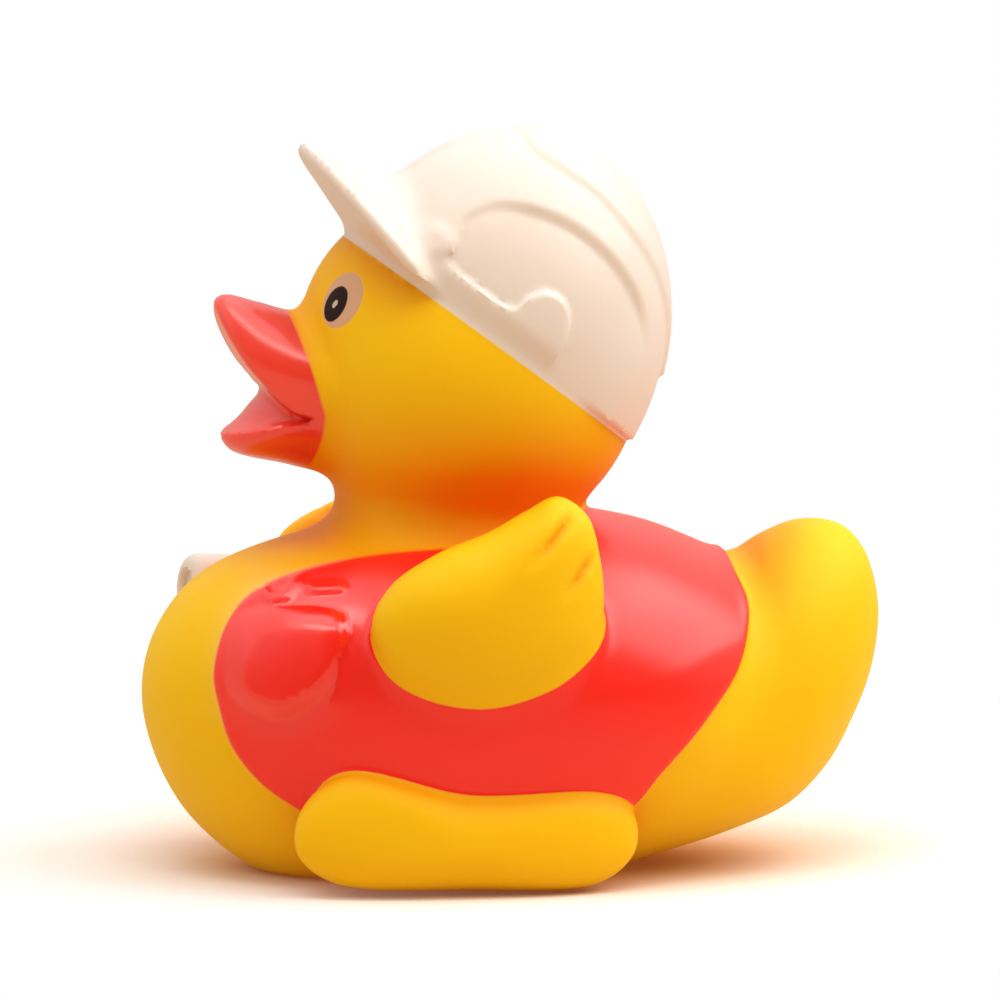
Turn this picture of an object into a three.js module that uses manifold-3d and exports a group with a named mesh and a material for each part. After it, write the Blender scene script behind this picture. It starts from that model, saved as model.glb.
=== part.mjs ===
// A squeaking bath duck in a hard hat and a vest. Head, body, hat, vest, wings and feet are one hollow
// vinyl casting, and a three-piece squeaker snaps into the hole in its base.
// Millimetres: +X is the way the duck looks, +Y its left side, +Z up, with the ground at z = 0.
import * as THREE from "three";
import { mergeVertices } from "three/addons/utils/BufferGeometryUtils.js";
import Module from "manifold-3d";

const wasm = await Module();
wasm.setup();

// Casting
const wall = 2;
const bodyLength = 86;
const bodyHalfWidth = 29;
const backHeight = 42;
const tailNarrowing = 0.25;
const tailHalfWidth = 19;
const headRadius = 20;
const headForward = 5;
const headSink = 4.5;
const browRadius = 13.6;
const browForward = 4.9;
const browRise = 5.5;
const neckFillet = 3.5;

// Hard hat, measured in its own frame: u forward, w to the left, v up from the rim
const hatTilt = THREE.MathUtils.degToRad(36.6);
const hatForward = 0.6;
const hatLift = 4.5;
const hatProud = 0.8;
const hatHeight = 25.2;
const peakLength = 10.3;
const peakHalfAngle = THREE.MathUtils.degToRad(60);
const peakFade = THREE.MathUtils.degToRad(9);
const lipProud = 0.3;
const lipThickness = 1.0;
const lipHeight = 5.0;
const lipCurve = 1.3;
const peakRootHeight = 7.3;
const panelDepth = 0.7;
const lobeRadius = 2.3;
const lobeHeight = 0.5;
const ribHeight = 0.5;
const ribFoot = 5.5;

// Bill
const billHalfWidth = 10;
const billSquareness = 2.3;
const tongueHalfWidth = 7.5;

// Vest and its chest pocket
const vestThickness = 0.5;
const pocketThickness = 1.4;

// Wings, feet and the roll under the right wing
const wingHalfThickness = 6.5;
const wingProud = 2.6;
const featherDepth = 0.6;
const footLength = 39;
const footHeight = 14;
const footHalfThickness = 6;
const footProud = 2;
const footForward = 9;
const rollRadius = 4;
const rollEdge = 0.9;
const rollFront = new THREE.Vector3(35.5, -19.5, 30.5);
const rollRear = new THREE.Vector3(-8, -29, 27);

// Base and squeaker
const squeakerForward = 4;
const holeRadius = 7;
const dishRadius = 10;
const dishDepth = 1.6;
const fitGap = 0.3;
const flangeThickness = 0.9;
const flangeLand = 1;
const snapOverhang = 1;
const snapHeight = 1;
const snapTaper = 1.2;
const cupWall = 1.5;
const cupFloor = 2;
const airHoleRadius = 1.8;
const reedThickness = 0.5;
const reedTongueLength = 5;
const reedTongueWidth = 3;
const reedSlot = 0.5;

// Cuts run this far past the faces they open, and joined forms sink this far into each other
const past = 30;
const bite = 0.1;
const mergeDistance = 1e-4;

const headCentre = new THREE.Vector3(headForward, 0, backHeight + headRadius - headSink);
const browCentre = headCentre.clone().add(new THREE.Vector3(browForward, 0, browRise));
const hatRimRadius = Math.sqrt(headRadius ** 2 - hatLift ** 2) + hatProud;
const hatPlace = new THREE.Matrix4()
  .makeTranslation(headCentre)
  .multiply(new THREE.Matrix4().makeRotationY(-hatTilt))
  .multiply(new THREE.Matrix4().makeTranslation(hatForward, 0, hatLift));

// Closed geometry as a solid that can be joined and cut
function solidOf(geometry) {
  const plain = new THREE.BufferGeometry();
  plain.setAttribute("position", geometry.getAttribute("position"));
  plain.setIndex(geometry.index);
  const merged = mergeVertices(plain, mergeDistance);
  const corners = merged.index.array;
  const triangles = [];
  for (let i = 0; i < corners.length; i += 3) {
    const [a, b, c] = corners.slice(i, i + 3);
    if (a !== b && b !== c && c !== a) {
      triangles.push(a, b, c);
    }
  }
  const triVerts = new Uint32Array(triangles);
  const vertProperties = merged.getAttribute("position").array;
  return new wasm.Manifold(new wasm.Mesh({ numProp: 3, vertProperties, triVerts }));
}

function geometryOf(solid) {
  const { vertProperties, triVerts } = solid.getMesh();
  const geometry = new THREE.BufferGeometry();
  geometry.setAttribute("position", new THREE.BufferAttribute(new Float32Array(vertProperties), 3));
  geometry.setIndex(new THREE.BufferAttribute(new Uint32Array(triVerts), 1));
  geometry.computeVertexNormals();
  return geometry;
}

// Skin over matching rings of points, closed by a pole at each end, or joined end to end without poles
function loft(rings, firstPole, lastPole) {
  const size = rings[0].length;
  const points = rings.flat();
  const faces = [];
  const bands = firstPole ? rings.length - 1 : rings.length;
  for (let band = 0; band < bands; band++) {
    const here = band * size;
    const next = ((band + 1) % rings.length) * size;
    for (let i = 0; i < size; i++) {
      const j = (i + 1) % size;
      faces.push(here + i, here + j, next + j, here + i, next + j, next + i);
    }
  }
  if (firstPole) {
    const first = points.push(firstPole) - 1;
    const last = points.push(lastPole) - 1;
    const lastRing = (rings.length - 1) * size;
    for (let i = 0; i < size; i++) {
      const j = (i + 1) % size;
      faces.push(first, j, i, last, lastRing + i, lastRing + j);
    }
  }
  const geometry = new THREE.BufferGeometry().setFromPoints(points);
  geometry.setIndex(faces);
  return solidOf(geometry);
}

function outlineOf(points) {
  return points.map(([x, z]) => new THREE.Vector2(x, z));
}

// Evenly spaced points on a smooth closed curve, moved outwards by an offset
function smoothRing(outline, count, offset = 0) {
  const knots = outline.map(({ x, y }) => new THREE.Vector3(x, y, 0));
  const points = new THREE.CatmullRomCurve3(knots, true).getSpacedPoints(count).slice(0, count);
  return points.map((point, i) => {
    const along = points[(i + 1) % count].clone().sub(points.at(i - 1)).normalize();
    return new THREE.Vector2(point.x - along.y * offset, point.y + along.x * offset);
  });
}

// Straight-sided solid over a side-view outline, from one Y to another
function sidePrism(points, fromY, toY) {
  const geometry = new THREE.ExtrudeGeometry(new THREE.Shape(points), {
    depth: toY - fromY,
    bevelEnabled: false,
  });
  geometry.rotateX(Math.PI / 2);
  geometry.translate(0, toY, 0);
  return solidOf(geometry);
}

// Solid of revolution about a vertical axis through (x, 0), from [radius, height] pairs
function revolve(profile, segments, x = 0) {
  const points = profile.map(([radius, height]) => new THREE.Vector2(radius, height));
  const geometry = new THREE.LatheGeometry(points, segments);
  geometry.rotateX(Math.PI / 2);
  geometry.translate(x, 0, 0);
  return solidOf(geometry);
}

function cylinder(radius, fromZ, toZ, x, segments = 36) {
  return revolve([[0, fromZ], [radius, fromZ], [radius, toZ], [0, toZ]], segments, x);
}

function ball(radius, centre, across, down) {
  const geometry = new THREE.SphereGeometry(radius, across, down);
  geometry.rotateX(Math.PI / 2);
  geometry.translate(centre.x, centre.y, centre.z);
  return solidOf(geometry);
}

// Raises a stamped area of a form up to a ceiling form, or sinks it down to a floor form
function emboss(form, stamp, ceiling) {
  return form.add(stamp.intersect(ceiling));
}

function engrave(form, stamp, floor) {
  return form.subtract(stamp.subtract(floor));
}

// A pillow swells from one side-view outline: as sections leave the middle plane they shrink to a core point
class Pillow {
  constructor({ outline, core, halfWidth, middle = 0, power = 2, taper = () => 1 }) {
    Object.assign(this, { outline, core, halfWidth, middle, power, taper });
    this.fineRing = smoothRing(outline, 160);
  }

  solid(around, across, offset = 0) {
    const ring = smoothRing(this.outline, around, offset);
    const rings = [];
    for (let i = 1; i < across; i++) {
      rings.push(this.section(ring, (i / across - 0.5) * Math.PI, offset));
    }
    const [firstPole] = this.section([this.core], -Math.PI / 2, offset);
    const [lastPole] = this.section([this.core], Math.PI / 2, offset);
    return loft(rings, firstPole, lastPole);
  }

  section(ring, angle, offset) {
    const shrink = Math.cos(angle) ** (2 / this.power);
    const rise = Math.sign(angle) * Math.abs(Math.sin(angle)) ** (2 / this.power);
    return ring.map((point) => {
      const { x, y: z } = point.clone().sub(this.core).multiplyScalar(shrink).add(this.core);
      return new THREE.Vector3(x, this.middle + (this.halfWidth + offset) * this.taper(x) * rise, z);
    });
  }

  // Share of the way from the core to the outline at which a side-view point lies
  outlineShare(x, z) {
    const point = new THREE.Vector2(x, z).sub(this.core);
    for (let i = 0; i < this.fineRing.length; i++) {
      const from = this.fineRing[i].clone().sub(this.core);
      const to = this.fineRing[(i + 1) % this.fineRing.length].clone().sub(this.core);
      const fromSide = point.cross(from);
      const toSide = point.cross(to);
      if (fromSide >= 0 !== toSide >= 0 && point.dot(from) > 0) {
        return point.length() / from.lerp(to, fromSide / (fromSide - toSide)).length();
      }
    }
    return 0;
  }

  // Half the width of the form where a line along Y passes through a side-view point
  widthAt(x, z) {
    const share = Math.min(this.outlineShare(x, z), 1);
    return this.halfWidth * this.taper(x) * (1 - share ** this.power) ** (1 / this.power);
  }

  level({ x, y, z }) {
    const across = Math.abs(y - this.middle) / (this.halfWidth * this.taper(x));
    return (this.outlineShare(x, z) ** this.power + across ** this.power) ** (1 / this.power);
  }

  slope(point) {
    const step = 0.05;
    const gradient = new THREE.Vector3();
    for (const axis of ["x", "y", "z"]) {
      const ahead = point.clone();
      const behind = point.clone();
      ahead[axis] += step;
      behind[axis] -= step;
      gradient[axis] = (this.level(ahead) - this.level(behind)) / (2 * step);
    }
    return gradient;
  }

  // Distance of a nearby point from the surface
  distance(point) {
    return (this.level(point) - 1) / this.slope(point).length();
  }
}

// Body: an egg and a tail, with x in shares of half the length and z in shares of the back's height
const halfLength = bodyLength / 2;

function bodyShares(shares) {
  return outlineOf(shares).map(({ x, y }) => new THREE.Vector2(x * halfLength, y * backHeight));
}

const egg = new Pillow({
  outline: bodyShares([
    [-0.41, 0.95], [0.12, 1], [0.57, 0.925], [0.845, 0.81], [0.965, 0.655], [1, 0.48], [0.953, 0.283],
    [0.845, 0.117], [0.635, -0.025], [0, -0.06], [-0.36, 0], [-0.66, 0.13], [-0.81, 0.34], [-0.82, 0.55],
    [-0.74, 0.74], [-0.6, 0.865],
  ]),
  core: new THREE.Vector2(0, backHeight / 2),
  halfWidth: bodyHalfWidth,
  taper: (x) => 1 - tailNarrowing * THREE.MathUtils.smoothstep(-x / halfLength, 0.35, 1),
});
const tail = new Pillow({
  outline: bodyShares([
    [-0.35, 0.7], [-0.1, 0.5], [-0.15, 0.12], [-0.4, 0.03], [-0.6, 0.065], [-0.745, 0.14], [-0.86, 0.275],
    [-0.93, 0.405], [-0.98, 0.54], [-1, 0.7], [-0.985, 0.81], [-0.955, 0.885], [-0.9, 0.938], [-0.8, 0.948],
    [-0.7, 0.915], [-0.6, 0.855],
  ]),
  core: new THREE.Vector2(-0.5 * halfLength, 0.3 * backHeight),
  halfWidth: tailHalfWidth,
});

function makeBody(offset = 0) {
  return egg.solid(38, 18, offset).add(tail.solid(28, 12, offset));
}

// Points given from the middle of the body at ground level, stretched with the body
function onBody(points) {
  const designed = new THREE.Vector2(86, 42);
  const stretch = new THREE.Vector2(bodyLength, backHeight).divide(designed);
  return outlineOf(points).map((point) => point.multiply(stretch));
}

function makeVestedBody() {
  const vestOutline = onBody([
    [-11, 44], [-5, 40.7], [12, 38.5], [23, 36.6], [30.2, 33.8], [35.5, 28.1], [37, 23.5], [35.2, 16.6],
    [31.4, 12.1], [25, 8.5], [8, 7], [-9, 8.5], [-17.4, 15.6], [-23, 23.4], [-24.8, 30.2], [-24.6, 36],
    [-26, 44],
  ]);
  const pocketOutline = onBody([
    [31, 32.6], [35, 28.1], [35.3, 22.8], [30.1, 20], [24.2, 23.2], [22.2, 31.3], [27.2, 32.8],
  ]);
  const vestStamp = sidePrism(smoothRing(vestOutline, 40), -past * 2, past * 2);
  const pocketStamp = sidePrism(smoothRing(pocketOutline, 22), 0, past * 2);
  const vested = emboss(makeBody(), vestStamp, makeBody(vestThickness));
  return emboss(vested, pocketStamp, makeBody(vestThickness + pocketThickness));
}

// Neck: a fillet swept round the crease between the head ball and the back
function makeNeck() {
  const sections = 30;
  const arcSteps = 3;
  const rings = [];
  for (let i = 0; i < sections; i++) {
    const turn = (i / sections) * 2 * Math.PI;
    const { centre, toHead, toBody } = rollingBall(turn);
    const ring = [];
    for (let step = 0; step <= arcSteps; step++) {
      const outwards = toHead.clone().lerp(toBody, step / arcSteps).normalize();
      const sink = step % arcSteps === 0 ? bite : 0;
      ring.push(centre.clone().addScaledVector(outwards, neckFillet + sink));
    }
    const inwards = toHead.clone().add(toBody).normalize();
    ring.push(centre.clone().addScaledVector(inwards, neckFillet * 5));
    rings.push(ring);
  }
  return loft(rings);
}

// The ball of the fillet's radius that touches both the head and the body at one turn about the head's axis
function rollingBall(turn) {
  let above = 0.55 * Math.PI;
  let below = 0.95 * Math.PI;
  const centreAt = (polar) =>
    new THREE.Vector3()
      .setFromSphericalCoords(headRadius + neckFillet, polar, 0)
      .applyAxisAngle(new THREE.Vector3(1, 0, 0), Math.PI / 2)
      .applyAxisAngle(new THREE.Vector3(0, 0, 1), turn)
      .add(headCentre);
  for (let i = 0; i < 30; i++) {
    const middle = (above + below) / 2;
    if (egg.distance(centreAt(middle)) > neckFillet) {
      above = middle;
    } else {
      below = middle;
    }
  }
  const centre = centreAt(above);
  const toHead = headCentre.clone().sub(centre).normalize();
  const toBody = egg.slope(centre).normalize().negate();
  return { centre, toHead, toBody };
}

// Hard hat
function hatDome(offset, segments = 36, rows = 9) {
  const profile = [[0, 0]];
  for (let i = 0; i <= rows; i++) {
    const angle = (i / rows) * (Math.PI / 2);
    profile.push([(hatRimRadius + offset) * Math.cos(angle), (hatHeight + offset) * Math.sin(angle)]);
  }
  profile[profile.length - 1][0] = 0;
  return revolve(profile, segments);
}

function makeHat() {
  let hat = hatDome(0);
  for (const side of [-1, 1]) {
    hat = engrave(hat, panelStamp(side), hatDome(-panelDepth));
    hat = emboss(hat, lobeStamp(side), hatDome(lobeHeight));
  }
  hat = emboss(hat, ribStamp(), hatDome(ribHeight));
  return hat.add(makePeak()).transform(hatPlace.elements);
}

// Stamp through one side of the hat, drawn as seen along w
function sideStamp(points, side) {
  return sidePrism(points, ...(side > 0 ? [hatProud, past] : [-past, -hatProud]));
}

// Sunken side panel under a high arch, above a band that ends in a round ear
function panelStamp(side) {
  const outline = outlineOf([
    [12.7, 4.3], [12.5, 5.6], [12.9, 7.2], [13.3, 9.4], [11.7, 12.6], [8.25, 14.7], [3.5, 16], [-1, 16.1],
    [-5.3, 15.3], [-9.5, 13.5], [-13, 10.6], [-15.5, 6.5], [-16.8, 2], [-17, -2], [-10, -3], [-4.4, -2],
    [-4, 1], [-3.6, 4.6], [-2.8, 6.5], [-1, 7.9], [1.3, 7.6], [2.6, 6], [3.2, 4], [5, 3.5], [8.8, 3.5],
    [11.4, 3.7],
  ]);
  return sideStamp(smoothRing(outline, 48), side);
}

// Round lobes where the panels end at the front
function lobeStamp(side) {
  const lobe = new THREE.Path().absarc(14.4, 5.2, lobeRadius, 0, 2 * Math.PI);
  return sideStamp(lobe.getSpacedPoints(14).slice(1), side);
}

// Broad rib over the crown and down the back of the hat
function ribStamp() {
  const outline = outlineOf([
    [12, 0], [10, -7], [4, -10], [-6, -10], [-14, -9], [-18, -8], [-23, -7], [-25, 0], [-23, 7], [-18, 8],
    [-14, 9], [-6, 10], [4, 10], [10, 7],
  ]);
  const shape = new THREE.Shape(smoothRing(outline, 28));
  const geometry = new THREE.ExtrudeGeometry(shape, { depth: past, bevelEnabled: false });
  geometry.translate(0, 0, ribFoot);
  return solidOf(geometry);
}

// Peak: a lip that stands far out and high in front and dies into the rim at both sides
function makePeak() {
  const sections = 32;
  const last = peakHalfAngle + peakFade;
  const seat = Math.sqrt(headRadius ** 2 - hatLift ** 2);
  const rings = [];
  for (let i = 0; i <= sections; i++) {
    const turn = (2 * last * i) / sections - last;
    const side = Math.cos(peakHalfAngle);
    const front = Math.max(Math.cos(turn) - side, 0) / (1 - side);
    const reach = lipProud + (peakLength - lipProud) * front;
    const lip = hatRimRadius + reach;
    const height = lipHeight * front ** lipCurve;
    const upper = height + lipThickness / 2;
    const lower = Math.max(height - lipThickness / 2, 0);
    const root = height + lipThickness + (peakRootHeight - lipHeight) * front;
    const profile = [
      [seat - 3, root],
      [seat, root],
      [hatRimRadius + reach * 0.25, upper + (root - upper) * 0.56],
      [hatRimRadius + reach * 0.55, upper + (root - upper) * 0.2],
      [lip - 0.2, upper],
      [lip, (upper + lower) / 2],
      [lip - 0.2, lower],
      [seat - bite, -bite],
      [seat - 3, 0.3],
    ];
    rings.push(profile.map(([r, v]) => new THREE.Vector3(r * Math.cos(turn), r * Math.sin(turn), v)));
  }
  const middleOf = (ring) =>
    ring.reduce((sum, point) => sum.add(point), new THREE.Vector3()).divideScalar(ring.length);
  return loft(rings, middleOf(rings[0]), middleOf(rings[sections]));
}

// Bill: one snout opened by the mouth, with a tongue. Points are measured from the middle of the head
const billOutline = outlineOf([
  [13, 8.9], [20, 7.3], [24.5, 8.4], [28.2, 9.3], [29.4, 8.7], [30, 3], [29.4, -3], [28.6, -7.5],
  [27.6, -8.7], [22, -9.9], [17, -10.8], [11, -10.6], [7, -1.5],
]);
const mouthOutline = outlineOf([
  [19.2, -4.4], [21.3, -3.1], [24.2, 0.2], [27, 4.9], [29.3, 8.6], [34, 14], [38, 1], [34, -9], [28.5, -6.9],
  [24.5, -5.8],
]);
const tongueOutline = outlineOf([
  [28, -7.2], [22, -9], [15, -8], [14, -2], [19, 0.5], [23.4, -1.6], [26.2, -4.4],
]);

function fromHead(points) {
  return points.map((point) => new THREE.Vector2(point.x + headCentre.x, point.y + headCentre.z));
}

function makeBill() {
  const bill = new Pillow({
    outline: fromHead(billOutline),
    core: new THREE.Vector2(headCentre.x + 15, headCentre.z - 0.8),
    halfWidth: billHalfWidth,
    power: billSquareness,
  });
  return bill.solid(32, 12);
}

function mouthStamp(offset) {
  return sidePrism(smoothRing(fromHead(mouthOutline), 40, offset), -past, past);
}

function makeTongue() {
  const tongue = new Pillow({
    outline: fromHead(tongueOutline),
    core: new THREE.Vector2(headCentre.x + 20, headCentre.z - 5),
    halfWidth: tongueHalfWidth,
  });
  return tongue.solid(20, 10);
}

// Wings: side-view points from the middle of each wing
const leftWing = {
  forward: 7,
  drop: 9,
  side: 1,
  outline: outlineOf([
    [-6.6, 12.9], [-0.5, 10.4], [9, 5.2], [13.1, -0.6], [9.5, -7.2], [-1.3, -11.1], [-10.5, -7.6],
    [-13.8, -1], [-13, 4.5], [-12.2, 10.5],
  ]),
  feathers: [
    [[-10.5, 7.6], [-4.6, 0.6]],
    [[-13.6, 1.2], [-9.2, -2.6]],
  ],
};
const rightWing = {
  forward: 9,
  drop: 9.5,
  side: -1,
  outline: outlineOf([
    [-3, 9.6], [7, 7.4], [14.5, 2.6], [13.6, -3.6], [8, -7.8], [-1.5, -10.4], [-12, -7], [-14.5, -0.5],
    [-11, 6.2],
  ]),
  feathers: [
    [[9.5, 6], [2.5, 2.5]],
    [[13.6, 1.6], [6, -0.6]],
  ],
};

function makeWing({ forward, drop, side, outline, feathers }) {
  const core = new THREE.Vector2(forward, backHeight - drop);
  const pillow = new Pillow({
    outline: outline.map((point) => point.clone().add(core)),
    core,
    halfWidth: wingHalfThickness,
    middle: side * (egg.widthAt(core.x, core.y) + wingProud),
  });
  let wing = pillow.solid(24, 10);
  const floor = pillow.solid(24, 10, -featherDepth);
  for (const [tip, root] of feathers) {
    const stamp = featherStamp(new THREE.Vector2(...tip).add(core), new THREE.Vector2(...root).add(core));
    wing = engrave(wing, stamp, floor);
  }
  return wing;
}

// Feather line: a slit that opens towards the wing's edge
function featherStamp(tip, root) {
  const halfOpening = 0.8;
  const along = tip.clone().sub(root).normalize();
  const across = new THREE.Vector2(-along.y, along.x);
  const outline = [
    root,
    tip.clone().addScaledVector(across, -halfOpening),
    tip.clone().addScaledVector(along, halfOpening * 2),
    tip.clone().addScaledVector(across, halfOpening),
  ];
  return sidePrism(outline, -past * 2, past * 2);
}

// Feet: long lobes along both sides of the base, in shares of their length and height
function makeFoot(side) {
  const core = new THREE.Vector2(footForward, footHeight * 0.42);
  const outline = outlineOf([
    [0, 0.86], [0.36, 1], [0.49, 0.7], [0.5, 0.34], [0.4, 0.05], [0, -0.01], [-0.4, 0.05], [-0.5, 0.34],
    [-0.49, 0.66], [-0.4, 0.84],
  ]).map(({ x, y }) => new THREE.Vector2(footForward + x * footLength, y * footHeight));
  const foot = new Pillow({
    outline,
    core,
    halfWidth: footHalfThickness,
    middle: side * (egg.widthAt(core.x, core.y) + footProud),
    power: 2.4,
  });
  return foot.solid(24, 10);
}

function makeRoll() {
  const length = rollFront.distanceTo(rollRear);
  const along = rollFront.clone().sub(rollRear).normalize();
  const profile = outlineOf([
    [0, 0],
    [rollRadius - rollEdge, 0],
    [rollRadius, rollEdge],
    [rollRadius, length - rollEdge],
    [rollRadius - rollEdge, length],
    [rollRadius - rollEdge * 2, length],
    [rollRadius - rollEdge * 2, length - rollEdge],
    [0, length - rollEdge],
  ]);
  const geometry = new THREE.LatheGeometry(profile, 20);
  geometry.applyQuaternion(new THREE.Quaternion().setFromUnitVectors(new THREE.Vector3(0, 1, 0), along));
  geometry.translate(rollRear.x, rollRear.y, rollRear.z);
  return solidOf(geometry);
}

function groundBlock(top) {
  const geometry = new THREE.BoxGeometry(bodyLength * 3, bodyLength * 3, past);
  geometry.translate(0, 0, top - past / 2);
  return solidOf(geometry);
}

// Air chamber: every main form drawn in by the wall, with solid wings, feet, bill and peak
function makeChamber() {
  const neckBore = Math.sqrt(headRadius ** 2 - (headRadius - headSink) ** 2) - wall;
  const dishCover = cylinder(dishRadius + wall, -past, dishDepth + wall, squeakerForward);
  return egg
    .solid(24, 12, -wall)
    .add(tail.solid(18, 10, -wall))
    .add(cylinder(neckBore, backHeight - wall * 3, headCentre.z, headCentre.x, 20))
    .add(ball(headRadius - wall, headCentre, 20, 10))
    .add(hatDome(-wall, 20, 6).transform(hatPlace.elements))
    .subtract(mouthStamp(wall))
    .subtract(groundBlock(wall))
    .subtract(dishCover);
}

function makeCasting() {
  return makeVestedBody()
    .add(ball(headRadius, headCentre, 32, 16))
    .add(ball(browRadius, browCentre, 26, 13))
    .add(makeNeck())
    .add(makeBill())
    .subtract(mouthStamp(0))
    .add(makeTongue())
    .add(makeHat())
    .add(makeWing(leftWing))
    .add(makeWing(rightWing))
    .add(makeFoot(1))
    .add(makeFoot(-1))
    .add(makeRoll())
    .subtract(groundBlock(0))
    .subtract(makeChamber())
    .subtract(cylinder(dishRadius, -past, dishDepth, squeakerForward))
    .subtract(cylinder(holeRadius, -past, dishDepth + wall + past / 10, squeakerForward));
}

// Squeaker heights, from the ground up
const flangeTop = dishDepth - fitGap;
const flangeFoot = flangeTop - flangeThickness;
const snapFoot = dishDepth + wall + fitGap;
const snapTop = snapFoot + snapHeight;
const housingTop = snapTop + snapTaper;
const barrelRadius = holeRadius - fitGap;
const cupRadius = barrelRadius - cupWall;
const reedRadius = cupRadius - fitGap;
const reedFoot = flangeFoot + cupFloor + fitGap;
const capFoot = reedFoot + reedThickness + fitGap;

// Housing: a flanged cup that snaps past the edge of the hole, with an air hole through its floor
function makeHousing() {
  return revolve(
    [
      [airHoleRadius, flangeFoot],
      [dishRadius - flangeLand, flangeFoot],
      [dishRadius - flangeLand, flangeTop],
      [barrelRadius, flangeTop],
      [barrelRadius, snapFoot],
      [holeRadius + snapOverhang, snapFoot],
      [holeRadius + snapOverhang, snapTop],
      [barrelRadius, housingTop],
      [cupRadius, housingTop],
      [cupRadius, flangeFoot + cupFloor],
      [airHoleRadius, flangeFoot + cupFloor],
      [airHoleRadius, flangeFoot],
    ],
    36,
    squeakerForward,
  );
}

// Reed: a disc with a tongue cut free on three sides
function makeReed() {
  const disc = cylinder(reedRadius, reedFoot, reedFoot + reedThickness, squeakerForward, 36);
  const slot = new THREE.Shape(
    outlineOf([
      [-reedTongueLength / 2, -reedTongueWidth / 2 - reedSlot],
      [reedTongueLength / 2 + reedSlot, -reedTongueWidth / 2 - reedSlot],
      [reedTongueLength / 2 + reedSlot, reedTongueWidth / 2 + reedSlot],
      [-reedTongueLength / 2, reedTongueWidth / 2 + reedSlot],
      [-reedTongueLength / 2, reedTongueWidth / 2],
      [reedTongueLength / 2, reedTongueWidth / 2],
      [reedTongueLength / 2, -reedTongueWidth / 2],
      [-reedTongueLength / 2, -reedTongueWidth / 2],
    ]),
  );
  const cut = new THREE.ExtrudeGeometry(slot, { depth: past, bevelEnabled: false });
  cut.translate(squeakerForward, 0, 0);
  return disc.subtract(solidOf(cut));
}

// Cap: a ring over the reed, level with the top of the cup
function makeCap() {
  const bore = reedTongueWidth / 2 + reedSlot;
  return revolve(
    [
      [bore, capFoot],
      [reedRadius, capFoot],
      [reedRadius, housingTop],
      [bore + 1, housingTop],
      [bore, housingTop - 1],
      [bore, capFoot],
    ],
    36,
    squeakerForward,
  );
}

const vinyl = new THREE.MeshStandardMaterial({ color: 0xf0b41c, roughness: 0.5, metalness: 0 });
const milkyPlastic = new THREE.MeshStandardMaterial({ color: 0xe9e6dc, roughness: 0.4, metalness: 0 });
const brass = new THREE.MeshStandardMaterial({ color: 0xc9a24a, roughness: 0.35, metalness: 1 });

const duck = new THREE.Group();
const pieces = [
  ["duck_body", makeCasting(), vinyl],
  ["squeaker_housing", makeHousing(), milkyPlastic],
  ["squeaker_reed", makeReed(), brass],
  ["squeaker_cap", makeCap(), milkyPlastic],
];
for (const [name, solid, material] of pieces) {
  const mesh = new THREE.Mesh(geometryOf(solid), material);
  mesh.name = name;
  duck.add(mesh);
}

// The origin lies on the ground under the middle of the whole duck
const middle = new THREE.Box3().setFromObject(duck).getCenter(new THREE.Vector3());
for (const mesh of duck.children) {
  mesh.position.set(-middle.x, -middle.y, 0);
}

export default duck;
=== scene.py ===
# A squeaking vinyl duck in a hard hat and vest, on a pale floor in soft light
# One smooth skin is grown from the same forms as the casting and painted by fields of colour
# The duck's lengths are millimetres until its mesh is made, and those of the stage are metres
import math

import bpy
import numpy as np
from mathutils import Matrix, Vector


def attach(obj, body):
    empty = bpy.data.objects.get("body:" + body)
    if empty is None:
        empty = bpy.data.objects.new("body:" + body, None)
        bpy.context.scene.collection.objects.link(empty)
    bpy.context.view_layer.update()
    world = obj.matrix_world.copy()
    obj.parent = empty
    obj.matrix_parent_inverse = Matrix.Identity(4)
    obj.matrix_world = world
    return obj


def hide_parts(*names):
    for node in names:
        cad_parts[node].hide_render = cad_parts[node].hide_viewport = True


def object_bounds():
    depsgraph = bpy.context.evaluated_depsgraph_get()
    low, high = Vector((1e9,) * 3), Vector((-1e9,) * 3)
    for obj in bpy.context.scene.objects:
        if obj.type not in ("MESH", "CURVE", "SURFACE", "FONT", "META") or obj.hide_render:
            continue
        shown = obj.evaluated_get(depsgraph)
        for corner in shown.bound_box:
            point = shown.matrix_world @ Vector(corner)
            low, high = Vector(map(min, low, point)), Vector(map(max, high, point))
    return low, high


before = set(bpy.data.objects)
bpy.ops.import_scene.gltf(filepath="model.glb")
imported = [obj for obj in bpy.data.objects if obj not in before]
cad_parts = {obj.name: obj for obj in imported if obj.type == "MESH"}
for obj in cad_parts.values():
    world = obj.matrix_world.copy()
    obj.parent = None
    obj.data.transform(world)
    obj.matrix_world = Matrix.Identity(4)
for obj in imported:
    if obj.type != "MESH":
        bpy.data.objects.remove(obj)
cad_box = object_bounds()

MM = 0.001

# Casting
BODY_LENGTH = 86.0
BODY_HALF_WIDTH = 29.0
BACK_HEIGHT = 42.0
TAIL_NARROWING = 0.25
NARROWING_RANGE = (0.35, 1.0)
BODY_CORE = (0.0, 0.5)
TAIL_CORE = (-0.5, 0.3)
TAIL_HALF_WIDTH = 19.0
HEAD_RADIUS = 20.0
HEAD_FORWARD = 5.0
HEAD_SINK = 4.5
HEAD = np.array([HEAD_FORWARD, 0.0, BACK_HEIGHT + HEAD_RADIUS - HEAD_SINK])
BROW_OFFSET = np.array([4.9, 0.0, 5.5])
BROW = HEAD + BROW_OFFSET
BROW_RADIUS = 13.6
NECK_RADIUS = 13.4
NECK_FORWARD = 6.3
NECK_HALF_HEIGHT = 6.0

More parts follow.
